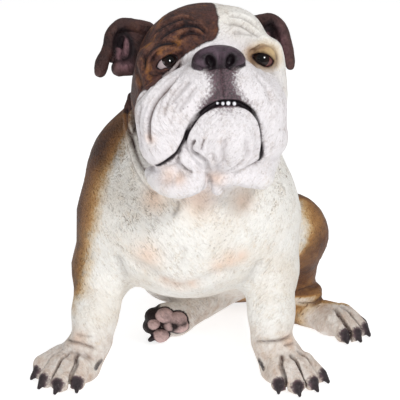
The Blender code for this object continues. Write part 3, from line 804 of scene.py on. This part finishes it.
def stoodFlat(obj):
    mesh = bmesh.new()
    mesh.from_mesh(obj.data)
    everything = mesh.verts[:] + mesh.edges[:] + mesh.faces[:]
    cut = bmesh.ops.bisect_plane(
        mesh, geom=everything, plane_co=(0, 0, 0), plane_no=(0, 0, 1), clear_inner=True
    )
    rim = [item for item in cut["geom_cut"] if isinstance(item, bmesh.types.BMEdge)]
    bmesh.ops.holes_fill(mesh, edges=rim, sides=0)
    bmesh.ops.triangulate(mesh, faces=mesh.faces)
    bmesh.ops.recalc_face_normals(mesh, faces=mesh.faces)
    mesh.to_mesh(obj.data)
    mesh.free()


statueSizes = {
    "roughVoxel": 0.0045,
    "roughPulls": 5,  # rounds of drawing the skin onto the field
    "voxel": 0.0017,
    "pulls": 3,
    "triangles": 190000,
    "fineFactor": 0.05,  # how much finer the face and the feet stay
}


def closeness(points):  # 1 on the face and the feet
    q = points - np.array(face @ Vector((0.0, -4.0, -3.0)))
    nearFace = np.linalg.norm(q, axis=1) / 15.0
    low = points[:, 2] / 7.0 + np.maximum(points[:, 1] - 16.0, 0.0) / 4.0
    return np.clip(1.9 - np.minimum(nearFace, low), 0.0, 1.0)


def sculptStatue(sizes):
    block = bmesh.new()
    for forms in bodyForms + [skull, nose, earForms, lids, chin]:
        for form, _ in forms:
            form.block(block)
    bmesh.ops.scale(block, vec=(cm, cm, cm), verts=block.verts)
    statue = builtObject("statue", block)
    skinned(statue, sizes["roughVoxel"])
    pulled(statue.data, sizes["roughPulls"])
    skinned(statue, sizes["voxel"])
    pulled(statue.data, sizes["pulls"])
    points = positions(statue.data)
    sink = relief(points)[0]
    sink += tufts(points, furSizes) * np.clip(distanceTo(nose, points) / 0.4, 0.2, 1.0)  # bare nose
    moved(statue.data, points - normals(statue.data) * sink[:, None])
    thinned(statue, sizes["triangles"], closeness(positions(statue.data)), sizes["fineFactor"])
    stoodFlat(statue)
    return statue


print("sculpting the statue")
statue = sculptStatue(statueSizes)


# Paint masks
def soft(edge, width, value):  # 1 below the edge, 0 above it
    return np.clip((edge - value) / width + 0.5, 0.0, 1.0)


# Each edge of the coat is one list of places and one of where the edge runs there.
coatSizes = {
    "shoulder": (
        [11.0, 12.3, 15.5, 19.3, 23.9, 26.7, 29.3, 32.3, 35.7, 38.8],
        [-19.0, -17.4, -16.8, -16.3, -15.2, -14.7, -13.9, -12.1, -10.6, -9.9],
    ),
    "muzzle": (
        [-10.4, -9.1, -7.0, -5.1, -4.0, -3.2, -1.0, 0.0],
        [-3.4, -1.8, 0.4, 2.2, 2.8, 3.4, 4.4, 4.6],
    ),
    "split": (
        [4.0, 4.5, 5.0, 6.0, 7.0, 7.8, 8.6, 9.8],
        [-0.4, -0.2, 0.45, 0.95, 0.95, 1.25, 1.15, 1.35],
    ),
    "thigh": ([14.0, 15.2, 16.7, 19.2, 21.2], [11.0, 14.7, 16.4, 17.0, 15.7]),
    "cheek": ((-9.0, -0.5, -3.2), (9.0, 5.6, 5.2)),
    "lips": ([-4.6, -3.6, -2.4, -1.2, 0.2, 0.8], [3.6, 2.7, 1.8, 1.5, 1.9, 2.3]),
    "blushes": [
        (body, (0.0, -11.4, 28.1), 2.2), (body, (5.8, -9.1, 27.3), 1.8),
        (body, (-6.2, -10.0, 27.8), 1.8), (body, (-7.1, -9.8, 19.7), 1.9),
        (body, (2.6, -9.6, 18.2), 1.3), (body, (4.1, -9.4, 18.8), 1.5),
        (body, (5.6, -8.8, 19.2), 1.1), (body, (-4.6, -8.8, 15.6), 1.1),
        (body, (-3.0, -8.8, 14.9), 1.1), (body, (-1.2, -9.0, 15.2), 1.1),
        (face, (-7.4, -8.4, -12.6), 1.2), (face, (-6.0, -8.9, -13.0), 1.0),
        (face, (-1.0, -8.2, -13.2), 1.2), (face, (-9.4, -10.0, -7.6), 0.7),
        (body, (-17.0, -7.0, 6.2), 1.2), (body, (12.4, -6.8, 5.8), 1.2),
    ],
}


def inside(gap):  # 0.5 on the edge, so the paint can draw it sharp
    return np.clip(0.5 - gap / 2.0, 0.0, 1.0)


def near(points, spot, radii):  # a soft spot, 1 in its middle
    return np.exp(-(((points - np.array(spot)) / radii) ** 2).sum(axis=1))


def paintMasks(points, out, sizes):
    # How sunken the skin is, from the field a little way out; the paint darkens these hollows with
    # painted shade
    cavity = np.clip(1.0 - figure(points + out * 0.9) / 0.9, 0.0, 1.0)
    points = settled(points, 2)  # out of the grooves, so that the paint reaches their bottoms
    q = (points - np.array(face.translation)) @ np.array(face.to_3x3())
    x, y, z = q.T
    wx, wy, wz = points.T
    _, washAndShade, shade, crest = relief(points)
    masks = {"washAndShade": washAndShade, "shade": shade, "crest": crest, "cavity": cavity}
    ears = distanceTo(earForms + earInsides, points)
    far = np.linalg.norm(q, axis=1) - 13.2
    head = np.maximum.reduce(
        [x - np.interp(z, *sizes["split"]), np.interp(x, *sizes["muzzle"]) - z, far, x - 3.0]
    )
    cheek = distanceTo([(Ball(face, *sizes["cheek"]), 0)], points)
    flank = np.maximum.reduce([cheek, x + 7.6, far, 0.35 - distanceTo(neckFold, points)])
    masks["darkCoat"] = inside(np.minimum(np.minimum(head, flank), ears - 0.35))
    side = wx - np.interp(wz, *sizes["shoulder"]) - np.maximum(wy - 1.0, 0.0) * 1.2
    shoulder = soft(0.2, 3.8, side) * soft(44.0, 2.0, wz) * soft(0.0, 1.5, 9.5 - wz)
    belly = soft(12.0, 3.0, wz) * soft(8.5, 2.0, np.abs(wx)) * soft(20.0, 4.0, wy)
    back = soft(0.0, 3.0, 8.5 - wy - 0.22 * (wz - 20.0)) * (1.0 - belly)
    thigh = soft(0.5, 4.2, np.interp(wz, *sizes["thigh"]) - wx) * soft(0.0, 2.0, 7.0 - wx)
    thigh *= soft(0.0, 3.0, 3.0 - wy)
    thigh *= soft(0.0, 0.6, 5.6 - wz)
    masks["warmCoat"] = np.maximum(np.maximum(shoulder, back), thigh) * (ears > 0.4)
    snout = np.maximum(distanceTo(nose, points) - 0.22, -z + np.abs(x) * 0.15)
    close, away, _ = nearLine(points, onSkin(face, mouth), 2.0)
    line = np.full(len(points), 2.0)
    line[close] = np.minimum(away, 2.0)
    middle = np.exp(-((x - 0.3) / 2.6) ** 2)
    # black lip paint along the mouth, wider in the middle, where it also paints the shade in the
    # gap between the lips
    gapes = line - 0.25 - 0.18 * middle
    balls = [(Ball(face, size["centre"], [eyeBallRadius] * 3), 0) for size in eyeSizes.values()]
    lashes = distanceTo(balls, points)
    clawed = distanceTo(claws, points)
    capped = distanceTo(toeClaws, points)
    masks["snout"] = inside(snout)
    masks["ink"] = inside(
        np.minimum.reduce([snout, gapes, np.where(y < -3.0, lashes - 0.2, 9.0), clawed - 0.06])
    )
    patch = soft(0.1, 2.2, np.abs(x - 0.05) - np.interp(z, *sizes["lips"]))
    patch *= soft(0.0, 0.8, -4.6 - z)
    patch *= soft(0.0, 0.6, z - 1.2)
    patch *= y < -10.0
    below = soft(0.0, 1.0, z + 4.6 + np.abs(x - 0.3) ** 2 * 0.09)
    lipShade = np.exp(-((line / 0.55) ** 2)) * 0.45
    lipShade += np.exp(-((line / 1.6) ** 2)) * 0.85 * below * middle
    masks["patch"] = np.maximum.reduce([patch, lipShade, soft(0.28, 0.4, capped) * 0.95])
    masks["pads"] = inside(distanceTo(solePads, points) - 0.08)
    soleFur = soft(0.3, 0.4, distanceTo(solePaw, points)) * soft(-6.0, 1.2, wx)
    soleFur = np.maximum(soleFur, soft(0.34, 0.2, distanceTo(solePads, points)))
    masks["soleFur"] = soleFur * (wx < -1.6)
    leftSide = x > 3.4
    masks["halo"] = near(q, (6.8, -6.5, 2.3), (2.7, 3.0, 2.0)) * leftSide * (y < -3.0)
    # painted shadow of the brow fold above the left eye, reaching down to its inner corner
    masks["browShadow"] = near(q, (6.2, -7.0, 3.35), (1.9, 2.0, 0.45)) * leftSide
    masks["browShadow"] += near(q, (4.9, -7.2, 2.4), (0.7, 2.0, 1.0)) * leftSide
    masks["lashes"] = np.exp(-((np.maximum(lashes - 0.2, 0.0) / 0.4) ** 2)) * (y < -3.0)
    pits = earHollow(earSizes["right"]) + earHollow(earSizes["left"])
    masks["pit"] = soft(0.4, 0.5, distanceTo(pits, points))
    masks["veil"] = soft(0.5, 1.0, ears)
    masks["holes"] = soft(0.26, 0.2, distanceTo(nostrils, points))
    masks["earSkin"] = np.maximum.reduce([
        soft(0.1, 0.2, distanceTo(earInsides, points)),
        near(q, (-10.4, 4.0, 2.9), (1.3, 2.0, 0.9)),
        near(q, (11.2, 3.4, 4.0), (0.9, 2.0, 3.0)) * 0.8,
    ])
    masks["whisker"] = np.maximum(
        near(q, (-5.2, -12.0, -3.4), (2.6, 2.0, 2.4)),
        near(q, (4.4, -11.4, -3.0), (1.8, 2.0, 2.4)),
    )
    masks["lowFur"] = soft(6.5, 5.0, wz)
    masks["rosy"] = soft(12.0, 4.0, np.linalg.norm(q - (-1.5, -9.0, -6.0), axis=1))
    masks["neckFur"] = np.maximum.reduce([
        near(points, (-8.0, -6.0, 26.0), (5.5, 6.0, 7.0)),
        near(points, (10.3, -3.5, 29.3), (3.4, 5.0, 4.4)),
        near(points, (-9.5, -4.0, 34.5), (2.4, 5.0, 6.0)),
    ])
    blush = []
    for place, spot, size in sizes["blushes"]:
        away = np.linalg.norm(points - np.array(place @ Vector(spot)), axis=1)
        blush.append(np.exp(-((away / size) ** 2)))
    masks["blush"] = np.maximum.reduce(blush)
    return masks


print("painting the coat")
masks = paintMasks(positions(statue.data), normals(statue.data), coatSizes)
for name, values in masks.items():
    layer = statue.data.attributes.new(name, "FLOAT", "POINT")
    layer.data.foreach_set("value", values.astype(np.float32))


# Paint
def node(tree, kind, inputs=None, **settings):
    made = tree.nodes.new("ShaderNode" + kind)
    for key, value in settings.items():
        setattr(made, key, value)
    for key, value in (inputs or {}).items():
        if isinstance(value, bpy.types.NodeSocket):
            tree.links.new(value, made.inputs[key])
        else:
            made.inputs[key].default_value = value
    return made


def mask(tree, name):
    return node(tree, "Attribute", attribute_name=name).outputs["Fac"]


def math2(tree, operation, a, b=0.0, clamp=False):
    return node(tree, "Math", {0: a, 1: b}, operation=operation, use_clamp=clamp).outputs[0]


def spread(tree, value, low, high):
    ends = {"Value": value, "From Min": low, "From Max": high}
    return node(tree, "MapRange", ends).outputs["Result"]


def mixed(tree, share, a, b):
    made = node(tree, "Mix", data_type="RGBA", blend_type="MIX")
    for socket, value in ((made.inputs[0], share), (made.inputs[6], a), (made.inputs[7], b)):
        if isinstance(value, bpy.types.NodeSocket):
            tree.links.new(value, socket)
        else:
            socket.default_value = value if isinstance(value, float) else (*value, 1.0)
    return made.outputs[2]


def noise(tree, where, scale, detail=4.0, rough=0.6, twist=0.0):
    settings = {"Scale": scale, "Detail": detail, "Roughness": rough, "Distortion": twist}
    return node(tree, "TexNoise", {"Vector": where, **settings}).outputs["Fac"]


coatColours = {
    "white": (0.86, 0.84, 0.80),
    "cream": (0.76, 0.69, 0.60),
    "fur": (0.15, 0.105, 0.075),
    # dark wash and painted shade in the cuts and hollows of the white coat
    "creaseWashAndShade": (0.10, 0.055, 0.045),
    "sand": (0.62, 0.44, 0.22),
    "orange": (0.40, 0.20, 0.065),
    "rust": (0.12, 0.046, 0.018),
    "umber": (0.014, 0.005, 0.005),
    "chestnut": (0.085, 0.028, 0.015),
    "mauve": (0.105, 0.042, 0.034),
    # painted highlight on the ridges of the dark coat
    "ridgeHighlight": (0.190, 0.085, 0.055),
    "glint": (0.30, 0.115, 0.018),
    "violet": (0.060, 0.032, 0.034),
    "gold": (0.80, 0.57, 0.25),
    # painted shadow of the brow fold over the left eye
    "browShadow": (0.30, 0.15, 0.06),
    "lash": (0.10, 0.038, 0.022),
    "pink": (0.28, 0.145, 0.165),
    "ink": (0.012, 0.007, 0.010),
    "plum": (0.128, 0.068, 0.086),
    "nose": (0.100, 0.060, 0.084),
    "pad": (0.66, 0.46, 0.44),
    "rose": (0.80, 0.765, 0.79),
    "blush": (0.84, 0.58, 0.43),
    "paw": (0.58, 0.45, 0.38),
}


def castPaint(colours):
    paint = bpy.data.materials.new("castResin")
    paint.use_nodes = True
    tree = paint.node_tree
    shader = tree.nodes["Principled BSDF"]

    def times(a, b, clamp=False):
        return math2(tree, "MULTIPLY", a, b, clamp)

    def plus(a, b):
        return math2(tree, "ADD", a, b)

    def minus(a, b):
        return math2(tree, "SUBTRACT", a, b)

    def ramp(value, low, high):
        return spread(tree, value, low, high)

    def of(name):
        return mask(tree, name)

    def over(under, share, top):  # a colour is a name or what another layer gave
        under, top = (colours[c] if isinstance(c, str) else c for c in (under, top))
        return mixed(tree, share, under, top)

    where = node(tree, "TexCoord").outputs["Object"]
    axes = node(tree, "SeparateXYZ", {0: where}).outputs
    sides = {0: math2(tree, "ABSOLUTE", axes[0]), 1: axes[1], 2: axes[2]}
    mirrored = node(tree, "CombineXYZ", sides).outputs[0]
    comb = {"Vector": mirrored, "Rotation": (0.0, 0.6, 0.0), "Scale": (1.0, 1.0, 3.2)}
    combed = node(tree, "Mapping", comb, vector_type="TEXTURE").outputs["Vector"]
    broad = noise(tree, where, 14.0)
    mottle = noise(tree, where, 60.0, 5.0, 0.65)
    speckle = noise(tree, where, 330.0, 3.0, 0.6)
    strands = noise(tree, combed, 400.0, 4.0, 0.65, 0.6)
    hairs = noise(tree, combed, 190.0, 2.0, 0.5, 1.0)
    hairLine = ramp(math2(tree, "ABSOLUTE", minus(hairs, 0.5)), 0.042, 0.008)
    locks = noise(tree, combed, 150.0, 3.0, 0.6, 1.2)
    ragged = plus(times(minus(mottle, 0.5), 0.7), times(minus(strands, 0.5), 0.9))

    # white coat
    white = over("white", ramp(broad, 0.45, 0.8), "cream")
    white = over(white, times(of("rosy"), 0.9), "rose")
    paws = times(of("lowFur"), ramp(plus(mottle, times(locks, 0.5)), 0.45, 1.0))
    white = over(white, paws, "paw")
    white = over(white, times(of("blush"), 0.6), "blush")
    streak = times(ramp(strands, 0.55, 0.64), ramp(locks, 0.42, 0.60))
    lines = times(hairLine, ramp(mottle, 0.40, 0.62))
    white = over(white, times(lines, plus(times(of("neckFur"), 0.95), 0.20)), "fur")
    white = over(white, times(streak, plus(times(of("neckFur"), 0.25), 0.10)), "fur")
    grid = {"Vector": where, "Scale": 125.0, "Randomness": 0.7}
    dots = node(tree, "TexVoronoi", grid).outputs["Distance"]
    white = over(white, times(times(of("whisker"), 0.6), ramp(dots, 0.20, 0.08)), "plum")

    # warm brown of the shoulder, the thigh and the back
    edge = plus(of("warmCoat"), times(ragged, 0.55))
    warm = over("sand", ramp(edge, 0.25, 0.60), "orange")
    warm = over(warm, ramp(edge, 0.50, 0.95), "rust")
    warm = over(warm, times(ramp(axes[2], 0.28, 0.37), 0.75), "rust")
    patches = plus(times(broad, 0.6), times(mottle, 0.4))
    warm = over(warm, times(ramp(patches, 0.50, 0.66), 0.55), "orange")
    warm = over(warm, times(ramp(patches, 0.48, 0.36), 0.65), "umber")
    warm = over(warm, times(streak, 0.8), "umber")
    warm = over(warm, times(ramp(locks, 0.55, 0.75), 0.5), "glint")
    colour = over(white, ramp(edge, 0.0, 0.45), warm)
    halo = ramp(plus(of("halo"), times(ragged, 0.3)), 0.2, 0.8)
    colour = over(colour, times(halo, 0.85), "gold")
    # painted shadow of the brow fold over the left eye
    colour = over(colour, times(of("browShadow"), plus(times(mottle, 0.7), 0.40), True), "browShadow")
    colour = over(colour, times(of("lashes"), 0.8), "lash")

    # dark half of the face and the ears
    dark = over("umber", ramp(mottle, 0.38, 0.60), "chestnut")
    dark = over(dark, ramp(plus(times(broad, 0.6), times(speckle, 0.4)), 0.44, 0.62), "mauve")
    dark = over(dark, times(ramp(mottle, 0.52, 0.66), ramp(broad, 0.46, 0.58)), "glint")
    veil = ramp(plus(times(broad, 0.4), times(mottle, 0.6)), 0.40, 0.62)
    dark = over(dark, times(of("veil"), veil), "violet")
    # painted highlight on the crests beside the cuts
    dark = over(dark, times(times(of("crest"), 0.8), ramp(mottle, 0.46, 0.62)), "ridgeHighlight")
    dark = over(dark, times(streak, 0.75), "umber")
    dark = over(dark, times(of("pit"), 0.9), "ink")
    dark = over(dark, times(of("earSkin"), ramp(mottle, 0.3, 0.6)), "pink")
    darkEdge = plus(of("darkCoat"), times(ragged, 0.20))
    dark = over(dark, times(ramp(darkEdge, 0.66, 0.52), 0.75), "umber")
    colour = over(colour, ramp(darkEdge, 0.44, 0.56), dark)

    # sole and pads, then the dark wash and painted shade in the grooves and hollows
    colour = over(colour, ramp(plus(of("soleFur"), times(ragged, 0.8)), 0.35, 0.65), "umber")
    pads = ramp(plus(of("pads"), times(minus(mottle, 0.5), 0.20)), 0.46, 0.55)
    colour = over(colour, pads, "pad")
    # painted shade in the hollows, stronger on the dark coat, added to the cuts' dark wash and
    # painted shade
    hollowShade = times(ramp(of("cavity"), 0.30, 1.0), plus(times(of("darkCoat"), 0.7), 0.25))
    creaseWashAndShade = plus(plus(of("washAndShade"), times(of("shade"), 0.30)), hollowShade)
    creaseWashAndShade = times(creaseWashAndShade, minus(1.0, times(of("halo"), 0.55)))
    # the painted shade is brown on the white coat and near black on the dark coat
    creaseWashAndShadeColour = over("creaseWashAndShade", ramp(of("darkCoat"), 0.45, 0.55), "ink")
    colour = over(colour, times(creaseWashAndShade, plus(times(locks, 0.7), 0.35), True), creaseWashAndShadeColour)

    # lips, then the ink of the nose, mouth, lids and claws; along the mouth it also paints the
    # shade in the gap between the lips
    dab = plus(of("patch"), times(minus(speckle, 0.5), 1.4))
    plum = over("ink", ramp(speckle, 0.35, 0.65), "plum")
    colour = over(colour, times(ramp(dab, 0.25, 0.80), 0.95), plum)
    inky = over("ink", times(ramp(mottle, 0.35, 0.62), ramp(of("snout"), 0.50, 0.64)), "nose")
    inky = over(inky, of("holes"), "ink")
    inkEdge = plus(of("ink"), times(minus(speckle, 0.5), 0.06))
    colour = over(colour, ramp(inkEdge, 0.46, 0.54), inky)
    tree.links.new(colour, shader.inputs["Base Color"])

    sheen = ramp(of("ink"), 0.46, 0.54)
    rough = minus(plus(times(broad, 0.2), 0.45), times(sheen, 0.18))
    tree.links.new(rough, shader.inputs["Roughness"])
    shader.inputs["Specular IOR Level"].default_value = 0.3
    furHeight = plus(times(strands, 0.5), times(locks, 0.9))
    calm = minus(1.0, times(sheen, 0.55))
    height = times(plus(furHeight, times(speckle, 0.35)), calm)
    bump = node(tree, "Bump", {"Strength": 1.0, "Distance": 0.004, "Height": height})
    tree.links.new(bump.outputs["Normal"], shader.inputs["Normal"])
    return paint


statue.data.materials.clear()
statue.data.materials.append(castPaint(coatColours))
for polygon in statue.data.polygons:
    polygon.use_smooth = True

# The eyes are glossy balls with rings of paint.
ballSizes = {"radius": eyeBallRadius, "pupil": 21, "iris": 41}  # the rings end at so many degrees


def plainPaint(name, colour, rough, coat=0.0):
    paint = bpy.data.materials.new(name)
    paint.use_nodes = True
    shader = paint.node_tree.nodes["Principled BSDF"]
    shader.inputs["Base Color"].default_value = (*colour, 1.0)
    shader.inputs["Roughness"].default_value = rough
    shader.inputs["Coat Weight"].default_value = coat
    return paint


eyePaints = [
    plainPaint("pupil", (0.002, 0.001, 0.001), 0.08),
    plainPaint("iris", (0.010, 0.004, 0.003), 0.08),
]
for paint in eyePaints:
    paint.node_tree.nodes["Principled BSDF"].inputs["Specular IOR Level"].default_value = 0.35


def eyeBall(name, size, rings):
    centre = face @ Vector(size["centre"])
    gaze = Vector(size["gaze"]).normalized()
    mesh = bmesh.new()
    turn = Matrix.Translation(centre * cm) @ gaze.to_track_quat("Z", "Y").to_matrix().to_4x4()
    bmesh.ops.create_uvsphere(
        mesh, u_segments=48, v_segments=60, radius=rings["radius"] * cm, matrix=turn
    )
    for part in mesh.faces:
        tilt = math.degrees((part.calc_center_median() - centre * cm).angle(gaze))
        part.material_index = 0 if tilt < rings["pupil"] else 1 if tilt < rings["iris"] else 2
        part.smooth = True
    ball = builtObject(name, mesh)
    for paint in eyePaints + [plainPaint(name + "_white", size["white"], 0.25)]:
        ball.data.materials.append(paint)
    return ball


print("eyes and teeth")
eyes = [eyeBall("eye_" + side, size, ballSizes) for side, size in eyeSizes.items()]
teethSizes = {
    "centres": [(-0.9, -13.0, -3.8), (-0.2, -13.05, -3.9), (0.5, -13.05, -3.9), (1.3, -12.9, -4.0)],
    "radii": [0.17, 0.22, 0.27, 0.25],
}


def toothRow(sizes):
    mesh = bmesh.new()
    for centre, radius in zip(sizes["centres"], sizes["radii"]):
        form = Ball(face, centre, (radius, radius, radius * 1.1))
        scale = Matrix.Diagonal((cm, cm, cm, 1.0))
        matrix = scale @ form.matrix @ Matrix.Diagonal((*form.radii, 1.0))
        bmesh.ops.create_uvsphere(mesh, u_segments=20, v_segments=14, radius=1.0, matrix=matrix)
    for part in mesh.faces:
        part.smooth = True
    row = builtObject("teeth", mesh)
    row.data.materials.append(plainPaint("tooth", (0.74, 0.74, 0.78), 0.25, 0.6))
    return row


teeth = toothRow(teethSizes)

# Everything moves together over the CAD's own middle and stays inside its box.
low = positions(statue.data).min(axis=0) * cm
high = positions(statue.data).max(axis=0) * cm
shift = np.array([(cadLow[k] + cadHigh[k] - low[k] - high[k]) / 2 for k in range(2)] + [0.0])
margin = 0.0001
for piece in [statue, teeth] + eyes:
    points = positions(piece.data) * cm + shift
    kept = np.clip(points, np.array(cadLow) + margin, np.array(cadHigh) - margin)
    kept[:, 2] = np.clip(points[:, 2], cadLow[2], cadHigh[2])
    moved(piece.data, kept / cm)
    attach(piece, "root")
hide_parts("bulldog")
print("shift", [round(float(v), 5) for v in shift])

# Floor, light and camera
floorMesh = bmesh.new()
bmesh.ops.create_grid(floorMesh, x_segments=1, y_segments=1, size=6.0)
floor = builtObject("floor", floorMesh)
floorPaint = plainPaint("floorPaint", (0.45, 0.45, 0.45), 0.9)
glow = floorPaint.node_tree.nodes["Principled BSDF"].inputs
glow["Emission Color"].default_value = (1.0, 1.0, 1.0, 1.0)
glow["Emission Strength"].default_value = 0.78
floor.data.materials.append(floorPaint)


def areaLight(name, where, power, size):
    lamp = bpy.data.lights.new(name, "AREA")
    lamp.energy = power
    lamp.size = size
    holder = added(name, lamp)
    holder.location = where
    down = Vector((0, 0, 0.25)) - Vector(where)  # towards the statue's middle
    holder.rotation_euler = down.to_track_quat("-Z", "Y").to_euler()


areaLight("key", (0.95, -1.9, 1.9), 38, 0.5)
areaLight("fill", (-1.6, -2.0, 1.0), 14, 1.2)
areaLight("top", (0.2, 0.5, 2.4), 10, 1.2)
world = bpy.data.worlds.new("studio")
world.use_nodes = True
world.node_tree.nodes["Background"].inputs[0].default_value = (1.0, 1.0, 1.0, 1.0)
world.node_tree.nodes["Background"].inputs[1].default_value = 0.36
bpy.context.scene.world = world
bpy.context.scene.view_settings.view_transform = "Standard"

cameraSizes = {"from": (0.0, -2.2825, 0.9816), "down": 18.0, "lens": 153.03, "lift": 0.0078}
camera = added("camera", bpy.data.cameras.new("camera"))
camera.data.lens = cameraSizes["lens"]
camera.data.sensor_width = 36.0
camera.data.shift_y = cameraSizes["lift"]
camera.location = Vector(cameraSizes["from"]) + Vector(shift)
camera.rotation_euler = (math.radians(90 - cameraSizes["down"]), 0.0, 0.0)
bpy.context.scene.camera = camera
